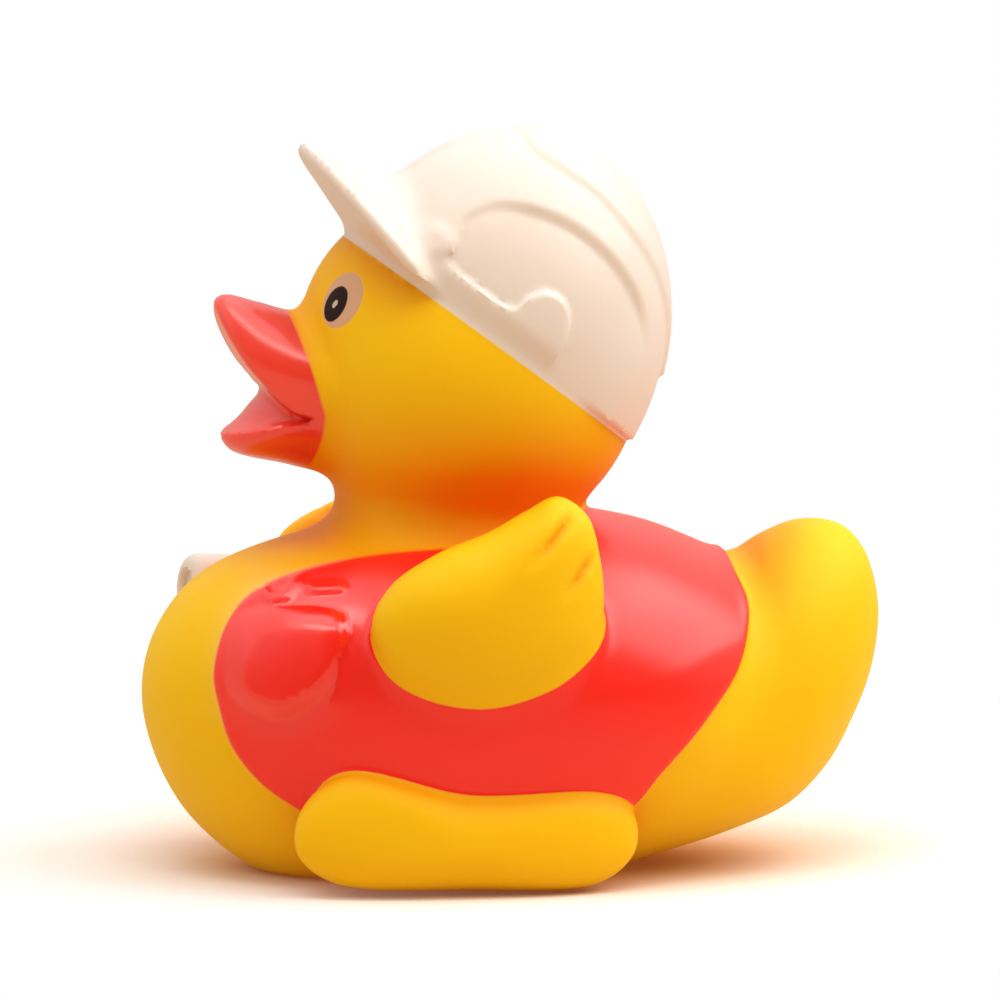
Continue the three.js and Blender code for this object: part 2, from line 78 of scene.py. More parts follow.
# Hard hat, in its own frame: u forward, w to the left, v up from the rim
HAT_TILT = math.radians(36.6)
HAT_FORWARD = 0.2
HAT_LIFT = 4.5
HAT_PROUD = 0.8
HAT_HEIGHT = 24.3
HAT_LEAN = 0.1
HAT_SEAT = math.sqrt(HEAD_RADIUS**2 - HAT_LIFT**2)
HAT_RIM = HAT_SEAT + HAT_PROUD
PEAK_LENGTH = 10.7
PEAK_HALF_ANGLE = math.radians(60)
PEAK_FADE = math.radians(15)
LIP_PROUD = 0.3
LIP_THICKNESS = 1.2
LIP_ROUND = 0.8
LIP_HEIGHT = 5.0
LIP_CURVE = 1.3
PEAK_ROOT_HEIGHT = 7.3
PANEL_DEPTH = 0.7
PANEL_EDGE = (-0.3, 1.0)
PANEL_SOFTNESS = 0.5
PANEL_SOFTENING = 0.8
PANEL_SOFT_RANGE = (7.0, 13.0)
PANEL_REAR = (-14.5, -8.0)
PANEL_FRONT = (7.0, 13.0)
PANEL_FRONT_LOSS = 0.6
FLUSH_RISE = (0.0, 3.5)
FLUSH_SIDE = (7.0, 13.0)
FLUSH_REAR = (-12.0, -5.0)
LOBE = (14.4, 5.2)
LOBE_RADIUS = 2.3
LOBE_EDGE = (-0.4, 1.6)
LOBE_HEIGHT = 0.5
RIB_HEIGHT = 0.5
RIB_SLOPE = (-0.3, 0.5)
RIB_FOOT = 8.0

# Bill
BILL_CORE = (15.0, -0.8)
BILL_HALF_WIDTH = 10.0
BILL_SHOULDER = 1.6
ROOF_SLOPE = 0.8
ROOF_CURVE = 1.4
TONGUE_CORE = (20.0, -5.0)
TONGUE_HALF_WIDTH = 7.5

# Vest and chest pocket
VEST_THICKNESS = 0.5
VEST_SLOPE = 0.35
POCKET_THICKNESS = 1.4
POCKET_SLANT = 1.9
POCKET_ROUND = 3.0
POCKET_TOP = (26.0, 30.0)
POCKET_GLOSS_EDGE = 2.0
RELIEF_HEIGHT = 0.35
RELIEF_REACH = 0.9

# Wings, feet and roll
WING_HALF_THICKNESS = 6.5
WING_PROUD = 2.6
WING_EDGE = 0.4
FEATHER_DEPTH = 0.6
FEATHER_HALF_WIDTH = 1.0
FEATHER_ROOT = (-0.1, 0.5)
FEATHER_TIP = (0.7, 1.1)
FEATHER_RUN_OUT = 1.6
FOOT_LENGTH = 39.0
FOOT_HEIGHT = 14.0
FOOT_CORE_HEIGHT = 0.42
FOOT_SQUARENESS = 2.2
FOOT_HALF_THICKNESS = 6.0
FOOT_PROUD = 2.0
FOOT_FORWARD = 9.0
ROLL_RADIUS = 4.0
ROLL_EDGE = 0.9
ROLL_FRONT = np.array([35.5, -19.5, 30.5])
ROLL_REAR = np.array([-8.0, -29.0, 27.0])

# Base
SQUEAKER_FORWARD = 4.0
HOLE_RADIUS = 7.0
DISH_RADIUS = 10.0
DISH_DEPTH = 1.6
WALL = 2.0
POCKET_ROOM = 7.0
HOLE_OVERLAP = 1.0

# How widely neighbouring forms run into each other
NECK_BLEND = (2.0, 5.0)
NECK_BLEND_RANGE = (-5.0, 12.0)
TAIL_BLEND = 3.0
BILL_BLEND = 2.0
TONGUE_BLEND = 1.5
BROW_BLEND = 3.0
WING_BLEND = 2.2
FOOT_BLEND = 1.2
ROLL_BLEND = 0.7
PEAK_BLEND = 2.0
RIM_BLEND = 0.3
EDGE_ROUND = 0.5

# Skin
GRID_STEP = 0.57
GRID_MARGIN = 2
CROSSING_PASSES = 2
CROSSING_SLOPE = 0.2
PLANE_SHARE = 0.1
CELL_REACH = 0.6
SHARP_EDGE = math.radians(50)
FAR = 25.0


def smoothstep(value, low, high):
    share = np.clip((value - low) / (high - low), 0.0, 1.0)
    return share * share * (3.0 - 2.0 * share)


# Field arithmetic: a field is negative inside a form and measures millimetres near its surface
def smooth_union(first, second, blend):
    nearness = np.maximum(blend - np.abs(first - second), 0.0) / blend
    return np.minimum(first, second) - nearness * nearness * blend / 4.0


def smooth_cut(form, cutter, blend):
    return -smooth_union(-form, cutter, blend)


def only_near(points, low, high, field, margin=4.0):
    """A field worked out only close to its own box, and far away elsewhere."""
    close = np.all((points > np.array(low) - margin) & (points < np.array(high) + margin), axis=1)
    values = np.full(len(points), FAR)
    values[close] = field(points[close])
    return values


def smooth_ring(outline, count=480, steps=40):
    """Evenly spaced points on a smooth closed curve through an outline."""
    knots = np.array(outline, dtype=float)
    before, after, beyond = np.roll(knots, 1, 0), np.roll(knots, -1, 0), np.roll(knots, -2, 0)
    t = np.linspace(0.0, 1.0, steps, endpoint=False)[None, :, None]
    spans = [np.sqrt(np.linalg.norm(b - a, axis=1))[:, None, None] for a, b in
             ((before, knots), (knots, after), (after, beyond))]
    p0, p1, p2, p3 = (points[:, None, :] for points in (before, knots, after, beyond))
    m1 = (p1 - p0) / spans[0] - (p2 - p0) / (spans[0] + spans[1]) + (p2 - p1) / spans[1]
    m2 = (p2 - p1) / spans[1] - (p3 - p1) / (spans[1] + spans[2]) + (p3 - p2) / spans[2]
    m1, m2 = m1 * spans[1], m2 * spans[1]
    curve = (p1 * (1 + t**2 * (2 * t - 3)) + m1 * t * (t - 1) ** 2
             + p2 * t**2 * (3 - 2 * t) + m2 * t**2 * (t - 1)).reshape(-1, 2)
    closed = np.vstack([curve, curve[:1]])
    along = np.concatenate([[0.0], np.cumsum(np.linalg.norm(np.diff(closed, axis=0), axis=1))])
    places = np.linspace(0.0, along[-1], count, endpoint=False)
    return np.column_stack([np.interp(places, along, closed[:, i]) for i in range(2)])


class Pillow:
    """Swells from one side-view outline: sections shrink to a core point as they leave the middle plane."""

    def __init__(self, outline, core, half_width, middle=0.0, power=2.0, taper=None):
        self.core = np.array(core)
        self.half_width = half_width
        self.middle = middle
        self.power = power
        self.taper = taper or (lambda x: np.ones_like(x))
        ring = smooth_ring(outline)
        arms = ring - self.core
        self.angles = np.arctan2(arms[:, 1], arms[:, 0])
        self.reach = np.hypot(arms[:, 0], arms[:, 1])
        self.low = (ring[:, 0].min(), middle - half_width, ring[:, 1].min())
        self.high = (ring[:, 0].max(), middle + half_width, ring[:, 1].max())

    def share(self, x, z):
        dx, dz = x - self.core[0], z - self.core[1]
        reach = np.interp(np.arctan2(dz, dx), self.angles, self.reach, period=2 * math.pi)
        return np.hypot(dx, dz) / reach

    def level(self, p):
        across = np.abs(p[:, 1] - self.middle) / (self.half_width * self.taper(p[:, 0]))
        return (self.share(p[:, 0], p[:, 2]) ** self.power + across**self.power) ** (1.0 / self.power)

    def near_field(self, p):
        step = 0.02
        level = self.level(p)
        slope = np.zeros(len(p))
        for axis in range(3):
            ahead = p.copy()
            ahead[:, axis] += step
            slope += ((self.level(ahead) - level) / step) ** 2
        return (level - 1.0) / np.sqrt(np.maximum(slope, 1e-6))

    def field(self, p):
        return only_near(p, self.low, self.high, self.near_field)

    def width_at(self, x, z):
        share = min(float(self.share(np.array([x]), np.array([z]))[0]), 1.0)
        widest = self.half_width * float(self.taper(np.array([x]))[0])
        return widest * (1.0 - share**self.power) ** (1.0 / self.power)


class Stencil:
    """Signed distance to a flat outline, positive inside, kept as a fine map and read between its cells."""

    def __init__(self, outline, step=0.25, border=6.0, count=240):
        ring = smooth_ring(outline, count)
        self.low, self.step = ring.min(0) - border, step
        counts = np.ceil((ring.max(0) + border - self.low) / step).astype(int) + 1
        lines = [self.low[i] + step * np.arange(counts[i]) for i in range(2)]
        grid = np.stack(np.meshgrid(*lines, indexing="ij"), -1)
        nearest = np.full(counts, np.inf)
        crossings = np.zeros(counts, dtype=int)
        for start, end in zip(ring, np.roll(ring, -1, 0)):
            edge, offset = end - start, grid - start
            share = np.clip((offset @ edge) / (edge @ edge + 1e-12), 0.0, 1.0)
            nearest = np.minimum(nearest, np.linalg.norm(offset - share[..., None] * edge, axis=-1))
            spans = (start[1] > grid[..., 1]) != (end[1] > grid[..., 1])
            rise = edge[1] if edge[1] else 1e-12
            crossings += spans & (grid[..., 0] < start[0] + (grid[..., 1] - start[1]) * edge[0] / rise)
        self.map = np.where(crossings % 2 == 1, nearest, -nearest)

    def distance(self, x, z):
        at = [np.clip((value - low) / self.step, 0.0, size - 1.001)
              for value, low, size in zip((x, z), self.low, self.map.shape)]
        i, j = (a.astype(int) for a in at)
        s, t = at[0] - i, at[1] - j
        lower = self.map[i, j] * (1 - s) + self.map[i + 1, j] * s
        upper = self.map[i, j + 1] * (1 - s) + self.map[i + 1, j + 1] * s
        return lower * (1 - t) + upper * t


# Body and tail: x in shares of half the length, z in shares of the back's height
HALF_LENGTH = BODY_LENGTH / 2


def body_outline(shares):
    return [(x * HALF_LENGTH, z * BACK_HEIGHT) for x, z in shares]


EGG = Pillow(
    body_outline([
        (-0.33, 0.943), (0.12, 1.0), (0.57, 0.925), (0.845, 0.81), (0.965, 0.655), (1.0, 0.48),
        (0.953, 0.283), (0.845, 0.117), (0.635, -0.025), (0.0, -0.06), (-0.36, 0.02), (-0.66, 0.16),
        (-0.81, 0.34), (-0.82, 0.55), (-0.75, 0.7), (-0.67, 0.775), (-0.58, 0.837), (-0.49, 0.883)]),
    body_outline([BODY_CORE])[0], BODY_HALF_WIDTH,
    taper=lambda x: 1.0 - TAIL_NARROWING * smoothstep(-x / HALF_LENGTH, *NARROWING_RANGE))
TAIL = Pillow(
    body_outline([
        (-0.35, 0.7), (-0.6, 0.84), (-0.7, 0.905), (-0.8, 0.94), (-0.9, 0.925), (-0.955, 0.87),
        (-0.985, 0.795), (-1.0, 0.69), (-0.98, 0.54), (-0.93, 0.405), (-0.86, 0.275), (-0.745, 0.16),
        (-0.6, 0.105), (-0.4, 0.075), (-0.15, 0.12), (-0.1, 0.5)]),
    body_outline([TAIL_CORE])[0], TAIL_HALF_WIDTH)
# Vest and chest pocket, seen from the side
VEST = Stencil([
    (-11, 44), (-5, 40.7), (8, 38.9), (15.4, 38.2), (20.9, 37.4), (26.4, 36.1), (30.6, 34.5), (33.3, 32.6),
    (35.5, 29.4), (36.8, 24.6), (36.4, 21.3), (35, 16.5), (31.9, 12.4), (28.2, 9.7), (25, 8), (8, 7),
    (-9, 8.5), (-13.6, 13.8), (-19.4, 20.2), (-23.3, 25), (-25.2, 29.7), (-25.5, 32), (-24.8, 35.3),
    (-26, 44)])
CHEST_POCKET = Stencil([
    (34.7, 30.2), (33.4, 31.8), (31.2, 32.5), (27.6, 32.8), (24.4, 32.7), (22.6, 32), (22.2, 30.4),
    (23.2, 27), (24.6, 23.6), (26.6, 21.6), (30.3, 19.9), (34.1, 21.1), (35.6, 22.9), (35.7, 26.9)])
POCKET_CLIP = [(30.9, 34.1), (30.5, 33.3), (28.8, 33.7), (27.1, 35.1)]
POCKET_BAR = [(25.7, 34.5), (22.6, 34.8)]


def line_distance(x, z, points):
    """Distance to a line through points, seen from the side."""
    flat = np.column_stack([x, z])
    nearest = np.full(len(flat), FAR)
    for start, end in zip(np.array(points[:-1]), np.array(points[1:])):
        edge = end - start
        share = np.clip(((flat - start) @ edge) / (edge @ edge), 0.0, 1.0)
        nearest = np.minimum(nearest, np.linalg.norm(flat - start - share[:, None] * edge, axis=1))
    return nearest


def pocket_height(x, z):
    """A pocket with a slanted lower edge and a round top, and two small things that stick out of it."""
    inside = CHEST_POCKET.distance(x, z)
    slanted = np.clip(inside / POCKET_SLANT, 0.0, 1.0)
    rounded = 1.0 - (1.0 - np.clip(inside / POCKET_ROUND, 0.0, 1.0)) ** 2
    height = POCKET_THICKNESS * (slanted + (rounded - slanted) * smoothstep(z, *POCKET_TOP))
    clip = line_distance(x, z, POCKET_CLIP)
    bar = line_distance(x, z, POCKET_BAR)
    return height + RELIEF_HEIGHT * smoothstep(-np.minimum(clip, bar), -RELIEF_REACH, 0.0)


def body_field(p):
    x, y, z = p.T
    vest = VEST_THICKNESS * smoothstep(VEST.distance(x, z), -VEST_SLOPE, VEST_SLOPE)
    pocket = pocket_height(x, z) * (y > 0)
    return smooth_union(EGG.near_field(p), TAIL.field(p), TAIL_BLEND) - vest - pocket


# Head, bill and mouth
def head_field(p):
    ball = np.linalg.norm(p - HEAD, axis=1) - HEAD_RADIUS
    brow = np.linalg.norm(p - BROW, axis=1) - BROW_RADIUS
    neck = np.hypot(p[:, 0] - NECK_FORWARD, p[:, 1]) - NECK_RADIUS
    neck = np.maximum(neck, np.abs(p[:, 2] - BACK_HEIGHT) - NECK_HALF_HEIGHT)
    return smooth_union(smooth_union(ball, brow, BROW_BLEND), neck, BROW_BLEND)


def from_head(points):
    return [(x + HEAD[0], z + HEAD[2]) for x, z in points]


BILL = Pillow(
    from_head([
        (13, 8.9), (20, 7.3), (24.5, 8.4), (28.2, 9.3), (29.4, 8.7), (30, 3), (29.4, -3), (28.6, -7.5),
        (27.6, -8.8), (22, -10.3), (17, -11.4), (11, -11.2), (7, -1.5)]),
    from_head([BILL_CORE])[0], BILL_HALF_WIDTH)
# The bill's roof, from the head: x, height of the ridge, height and half width of a shoulder
BILL_ROOF = np.array([
    (13.0, 10.0, -0.4, 10.2), (20.0, 8.4, 1.5, 9.7), (22.0, 8.9, 2.1, 9.0), (25.0, 9.6, 3.3, 7.5),
    (27.0, 10.1, 4.9, 5.9), (28.0, 10.4, 6.6, 4.5), (29.0, 10.5, 8.4, 2.8), (30.0, 10.5, 9.2, 2.0)])
MOUTH = Stencil(from_head([
    (19.3, -4.6), (21.6, -3.6), (23.5, -2.1), (25.1, -0.3), (26.5, 1.4), (28.1, 4.0), (29.3, 6.6),
    (30.2, 9.4), (34, 14), (38, 1), (34, -9), (28.5, -6.9), (24.5, -5.8)]))
TONGUE = Pillow(
    from_head([(28.0, -7.2), (26.2, -4.4), (23.4, -1.6), (19, 0.5), (14, -2), (15, -8), (22, -9)]),
    from_head([TONGUE_CORE])[0], TONGUE_HALF_WIDTH)


def bill_field(p):
    x, z = p[:, 0] - HEAD[0], p[:, 2] - HEAD[2]
    ridge, shoulder, half_width = (np.interp(x, BILL_ROOF[:, 0], BILL_ROOF[:, i]) for i in (1, 2, 3))
    roof = (z - ridge + (ridge - shoulder) * (np.abs(p[:, 1]) / half_width) ** ROOF_CURVE) * ROOF_SLOPE
    return -smooth_union(-BILL.field(p), -roof, BILL_SHOULDER)


def mouth_field(p):
    return np.where(p[:, 0] > HEAD[0], -MOUTH.distance(p[:, 0], p[:, 2]), FAR)


# Hard hat
def hat_frame(p):
    x, y, z = (p - HEAD).T
    u = x * math.cos(HAT_TILT) + z * math.sin(HAT_TILT) - HAT_FORWARD
    v = z * math.cos(HAT_TILT) - x * math.sin(HAT_TILT) - HAT_LIFT
    return u, y, v


# The hat's side: a sunk panel under a high arch, above a band that ends in a round ear, seen along w
PANEL = Stencil([
    (12.7, 4.3), (12.5, 5.6), (12.9, 7.2), (13.3, 9.4), (11.7, 12.6), (8.25, 14.7), (3.5, 16.0),
    (-1.0, 16.1), (-5.3, 15.3), (-9.5, 13.5), (-13.0, 10.6), (-15.5, 6.5), (-16.8, 2.0), (-17.0, -2.0),
    (-10.0, -3.0), (-4.4, -2.0), (-4.0, 1.0), (-3.6, 4.6), (-2.8, 6.5), (-1.0, 7.9), (1.3, 7.6),
    (2.6, 6.0), (3.2, 4.0), (5.0, 3.5), (8.8, 3.5), (11.4, 3.7)])
# The broad rib over the crown, seen from above
RIB_EDGE = [
    (10.5, 7.5), (6.7, 10.4), (1.6, 11.4), (-3.4, 11.5), (-8, 10.1), (-13, 7.4), (-16, 5), (-18.5, 3.7),
    (-24, 3)]
RIB = Stencil([(12, 0)] + RIB_EDGE + [(-25, 0)] + [(u, -w) for u, w in reversed(RIB_EDGE)])


def panel_sink(u, v):
    """How deep the side panel lies, with a softer edge towards the crown."""
    softness = PANEL_SOFTNESS + PANEL_SOFTENING * smoothstep(v, *PANEL_SOFT_RANGE)
    sunk = smoothstep(PANEL.distance(u, v) / softness, *PANEL_EDGE) * smoothstep(u, *PANEL_REAR)
    return PANEL_DEPTH * sunk * (1.0 - PANEL_FRONT_LOSS * smoothstep(u, *PANEL_FRONT))


def rim_sink(u, w, v):
    """How far the rim's sides sink to lie flush with the head."""
    low = HAT_PROUD * (1.0 - smoothstep(v, *FLUSH_RISE))
    return low * smoothstep(np.abs(w), *FLUSH_SIDE) * smoothstep(u, *FLUSH_REAR)


def dome_field(u, w, v):
    round_share = ((u - HAT_LEAN * v) ** 2 + w * w) / HAT_RIM**2
    level = np.sqrt(round_share + v * v / HAT_HEIGHT**2) + 1e-6
    slope = np.sqrt(round_share / HAT_RIM**2 + v * v / HAT_HEIGHT**4) / level
    dome = (level - 1.0) / np.maximum(slope, 1e-3)
    dome = dome + np.maximum(panel_sink(u, v), rim_sink(u, w, v))
    lobe = LOBE_RADIUS - np.hypot(u - LOBE[0], v - LOBE[1])
    dome = dome - LOBE_HEIGHT * smoothstep(lobe, *LOBE_EDGE)
    rib = np.minimum(RIB.distance(u, w), v - RIB_FOOT)
    dome = dome - RIB_HEIGHT * smoothstep(rib, *RIB_SLOPE)
    return smooth_cut(dome, v, EDGE_ROUND)


def peak_field(u, w, v):
    turn = np.abs(np.arctan2(w, u))
    r = np.hypot(u, w)
    front = np.maximum(np.cos(turn) - math.cos(PEAK_HALF_ANGLE), 0.0) / (1.0 - math.cos(PEAK_HALF_ANGLE))
    lip = HAT_RIM + LIP_PROUD + (PEAK_LENGTH - LIP_PROUD) * front
    height = LIP_HEIGHT * front**LIP_CURVE
    root = height + LIP_THICKNESS + (PEAK_ROOT_HEIGHT - LIP_HEIGHT) * front
    overhang = lip - HAT_SEAT
    share = np.clip((r - HAT_SEAT) / overhang, 0.0, 1.0)
    upper = height + LIP_THICKNESS / 2
    top = v - upper - (root - upper) * (1.0 - share) ** 2
    slant = np.maximum(height - LIP_THICKNESS / 2, 0.0) / overhang
    under = (slant * np.maximum(r - HAT_SEAT, 0.0) - v) / np.sqrt(1.0 + slant**2)
    form = -smooth_union(-top, -under, LIP_ROUND)
    form = -smooth_union(-form, -(r - lip), LIP_ROUND)
    faded = smoothstep(turn, PEAK_HALF_ANGLE - PEAK_FADE, PEAK_HALF_ANGLE + PEAK_FADE)
    return form + 2.0 * PEAK_BLEND * faded


def hat_field(p):
    u, w, v = hat_frame(p)
    return smooth_union(dome_field(u, w, v), peak_field(u, w, v), PEAK_BLEND)


# Wings, feet and roll
class Wing(Pillow):
    """A wing on the body's side, with feather lines given as tip and root points."""

    def __init__(self, forward, drop, side, outline, feathers):
        core = np.array([forward, BACK_HEIGHT - drop])
        middle = side * (EGG.width_at(*core) + WING_PROUD)
        super().__init__([core + point for point in np.array(outline)], core, WING_HALF_THICKNESS, middle)
        self.feathers = [(core + tip, core + root) for tip, root in np.array(feathers)]

    def near_field(self, p):
        wing = super().near_field(p)
        flat = p[:, [0, 2]]
        for tip, root in self.feathers:
            edge = tip - root
            share = ((flat - root) @ edge) / (edge @ edge)
            nearest = np.clip(share, 0.0, FEATHER_RUN_OUT)[:, None] * edge
            gap = np.linalg.norm(flat - root - nearest, axis=1)
            depth = FEATHER_DEPTH * smoothstep(share, *FEATHER_ROOT)
            depth = depth * (1.0 - smoothstep(share, *FEATHER_TIP))
            wing = wing + depth * smoothstep(-gap, -FEATHER_HALF_WIDTH, 0.0)
        return wing


LEFT_WING = Wing(
    forward=7.0, drop=9.0, side=1,
    outline=[
        (-8.3, 12.6), (-4.7, 11), (-0.5, 8.7), (5.5, 6.3), (11, 2.6), (13.1, -1.6), (11.2, -7.4),
        (6.6, -11), (0.5, -12.8), (-4.6, -12.2), (-9.4, -9.8), (-12.7, -5), (-13.5, 0), (-13.1, 5.4),
        (-11.6, 10.4)],
    feathers=[((-9.8, 11), (-3.9, 4.9)), ((-12, 6.3), (-7.9, 1.4))])
RIGHT_WING = Wing(
    forward=9.0, drop=9.5, side=-1,
    outline=[
        (-3, 9.6), (7, 7.4), (14.5, 2.6), (13.6, -3.6), (8, -7.8), (-1.5, -10.4), (-12, -7), (-14.5, -0.5),
        (-11, 6.2)],
    feathers=[((9.5, 6), (2.5, 2.5)), ((13.6, 1.6), (6, -0.6))])


def foot(side):
    core = (FOOT_FORWARD, FOOT_HEIGHT * FOOT_CORE_HEIGHT)
    middle = side * (EGG.width_at(*core) + FOOT_PROUD)
    outline = [(FOOT_FORWARD + x * FOOT_LENGTH, z * FOOT_HEIGHT) for x, z in (
        (0, 0.86), (0.36, 1), (0.49, 0.7), (0.5, 0.36), (0.4, 0.12), (0, 0.04), (-0.4, 0.08), (-0.5, 0.34),
        (-0.49, 0.66), (-0.4, 0.84))]
    return Pillow(outline, core, FOOT_HALF_THICKNESS, middle, power=FOOT_SQUARENESS)


FEET = [foot(1), foot(-1)]


def near_roll_field(p):
    length = np.linalg.norm(ROLL_FRONT - ROLL_REAR)
    axis = (ROLL_FRONT - ROLL_REAR) / length
    along = (p - ROLL_REAR) @ axis
    out = np.linalg.norm(p - ROLL_REAR - along[:, None] * axis, axis=1)
    tube = -smooth_union(-(out - ROLL_RADIUS), -np.maximum(along - length, -along), 2 * ROLL_EDGE)
    bore = np.maximum(out - (ROLL_RADIUS - 2 * ROLL_EDGE), length - ROLL_EDGE - along)
    return smooth_cut(tube, bore, EDGE_ROUND)


def roll_field(p):
    corners = np.vstack([ROLL_FRONT, ROLL_REAR])
    return only_near(p, corners.min(0) - ROLL_RADIUS, corners.max(0) + ROLL_RADIUS, near_roll_field)


# Base: flat ground, a dish for the squeaker's flange, and room for its cup
def base_cut_field(p):
    out = np.hypot(p[:, 0] - SQUEAKER_FORWARD, p[:, 1])
    z = p[:, 2]
    dish = np.maximum(out - DISH_RADIUS, z - DISH_DEPTH)
    hole = np.maximum(out - HOLE_RADIUS, z - DISH_DEPTH - WALL - HOLE_OVERLAP)
    room = np.maximum(out - DISH_RADIUS, np.abs(z - DISH_DEPTH - WALL - POCKET_ROOM / 2) - POCKET_ROOM / 2)
    return np.minimum(np.minimum(dish, hole), room)


def form_fields(p):
    """Each form's own field, by name."""
    return {
        "body": body_field(p),
        "head": head_field(p),
        "bill": bill_field(p),
        "hat": hat_field(p),
        "wings": np.minimum(LEFT_WING.field(p), RIGHT_WING.field(p)),
        "feet": np.minimum(FEET[0].field(p), FEET[1].field(p)),
        "roll": roll_field(p),
    }


def skin_field(p):
    form = form_fields(p)
    back, front = NECK_BLEND
    neck = back + (front - back) * smoothstep(p[:, 0], *NECK_BLEND_RANGE)
    skin = smooth_union(form["body"], form["head"], neck)
    skin = smooth_union(skin, form["bill"], BILL_BLEND)
    skin = smooth_cut(skin, mouth_field(p), EDGE_ROUND)
    skin = smooth_union(skin, TONGUE.field(p), TONGUE_BLEND)
    skin = smooth_union(skin, form["wings"], WING_BLEND)
    skin = smooth_union(skin, form["feet"], FOOT_BLEND)
    skin = smooth_union(skin, form["roll"], ROLL_BLEND)
    skin = smooth_union(skin, form["hat"], RIM_BLEND)
    skin = smooth_cut(skin, p[:, 2], EDGE_ROUND)
    return np.maximum(skin, -base_cut_field(p))


# Skin: a net of vertices, one in each grid cell that the surface crosses, set on the surface's own edges
CORNERS = np.array([(i, j, k) for i in (0, 1) for j in (0, 1) for k in (0, 1)])


def slope_of(points, step=0.01):
    value = skin_field(points)
    slope = np.zeros_like(points)
    for axis in range(3):
        ahead = points.copy()
        ahead[:, axis] += step
        slope[:, axis] = (skin_field(ahead) - value) / step
    return value, slope


def crossings_along(values, axis, low, step):
    """Where the surface crosses the grid lines of one axis, with its outward direction there."""
    head = np.take(values, range(values.shape[axis] - 1), axis)
    tail = np.take(values, range(1, values.shape[axis]), axis)
    crossed = (head < 0) != (tail < 0)
    starts = np.argwhere(crossed)
    number = np.full(values.shape, -1)
    number[tuple(starts.T)] = np.arange(len(starts))
    share = head[crossed] / (head[crossed] - tail[crossed])
    places = low + step * (starts + share[:, None] * np.eye(3)[axis])
    for _ in range(CROSSING_PASSES):
        value, slope = slope_of(places)
        change = np.where(np.abs(slope[:, axis]) > CROSSING_SLOPE, value / slope[:, axis], 0.0)
        places[:, axis] -= np.clip(change, -step / 4, step / 4)
    outward = slope / np.maximum(np.linalg.norm(slope, axis=1), 1e-6)[:, None]
    return starts, number, places, outward, head[crossed] < 0


def net_vertices(cells, crossings):
    """The point of each cell that lies best on all the tangent planes of its crossings."""
    picked = []
    for axis, (_, number, places, outward, _) in enumerate(crossings):
        for corner in CORNERS[CORNERS[:, axis] == 0]:
            index = number[tuple((cells + corner).T)]
            picked.append((index >= 0, places[index], outward[index]))
    count = sum(hit for hit, _, _ in picked)[:, None]
    middle = sum(np.where(hit[:, None], place, 0.0) for hit, place, _ in picked) / count
    planes = np.zeros((len(cells), 3, 3))
    pull = np.zeros((len(cells), 3))
    for hit, place, outward in picked:
        normal = np.where(hit[:, None], outward, 0.0)
        planes += normal[:, :, None] * normal[:, None, :]
        pull += normal * (normal * (place - middle)).sum(1)[:, None]
    sizes, axes = np.linalg.eigh(planes)
    kept = sizes > PLANE_SHARE * sizes[:, 2:]
    along = np.einsum("nij,ni->nj", axes, pull)
    shift = np.einsum("nij,nj->ni", axes, np.where(kept, along / np.where(kept, sizes, 1.0), 0.0))
    return middle, shift


def surface_net(values, low, step):
    crossings = [crossings_along(values, axis, low, step) for axis in range(3)]
    inside = values < 0
    size = np.array(values.shape) - 1
    count = sum(inside[i:i + size[0], j:j + size[1], k:k + size[2]].astype(np.int8) for i, j, k in CORNERS)
    active = (count > 0) & (count < 8)
    cells = np.argwhere(active)
    number = np.full(active.shape, -1)
    number[active] = np.arange(len(cells))
    middle, shift = net_vertices(cells, crossings)
    centre = low + step * (cells + 0.5)
    points = np.clip(middle + shift, centre - CELL_REACH * step, centre + CELL_REACH * step)
    faces = []
    steps = np.eye(3, dtype=int)
    for axis, (starts, _, _, _, outward) in enumerate(crossings):
        side, rise = steps[(axis + 1) % 3], steps[(axis + 2) % 3]
        around = (side + rise, rise, 0 * side, side)
        quads = np.stack([number[tuple((starts - back).T)] for back in around], 1)
        faces.append(np.where(outward[:, None], quads, quads[:, ::-1]))
    return points, np.vstack(faces)


def grow_skin():
    low = np.array(cad_box[0]) / MM - GRID_MARGIN * GRID_STEP
    counts = np.ceil((np.array(cad_box[1]) / MM - low) / GRID_STEP).astype(int) + GRID_MARGIN + 1
    axes = [low[i] + GRID_STEP * np.arange(counts[i]) for i in range(3)]
    values = np.empty(counts)
    for i, x in enumerate(axes[0]):
        sheet = np.stack(np.meshgrid([x], axes[1], axes[2], indexing="ij"), -1).reshape(-1, 3)
        values[i] = skin_field(sheet).reshape(counts[1:])
    points, faces = surface_net(values, low, GRID_STEP)
    return np.clip(points, np.array(cad_box[0]) / MM, np.array(cad_box[1]) / MM), faces


# Paint: signed distances to the edges of each colour, positive inside
# Each oval of an eye: turn from straight ahead, rise, half axes, and the long axis's lean from level
EYE_WHITE_OVAL = (28.2, 27.0, 3.4, 3.2, -78.0)
EYE_BLACK_OVAL = (25.7, 25.3, 2.2, 1.85, -70.0)
EYE_DOT_OVAL = (25.6, 25.2, 0.55, 0.43, -60.0)


def eye_paint(p, oval):
    """One oval on both sides of the face, laid out on the plane that touches the head at its middle."""
    turn, rise, lean = (math.radians(oval[i]) for i in (0, 1, 4))
    outward = np.array([math.cos(turn) * math.cos(rise), math.sin(turn) * math.cos(rise), math.sin(rise)])
    inward = np.array([math.sin(turn), -math.cos(turn), 0.0])
    upward = np.cross(inward, outward)
    mirrored = p - HEAD
    mirrored[:, 1] = np.abs(mirrored[:, 1])
    level, height = mirrored @ inward, mirrored @ upward
    along = level * math.cos(lean) + height * math.sin(lean)
    across = height * math.cos(lean) - level * math.sin(lean)
    share = np.hypot(along / oval[2], across / oval[3])
    return np.where(mirrored @ outward > 0, (1.0 - share) * oval[3], -FAR)


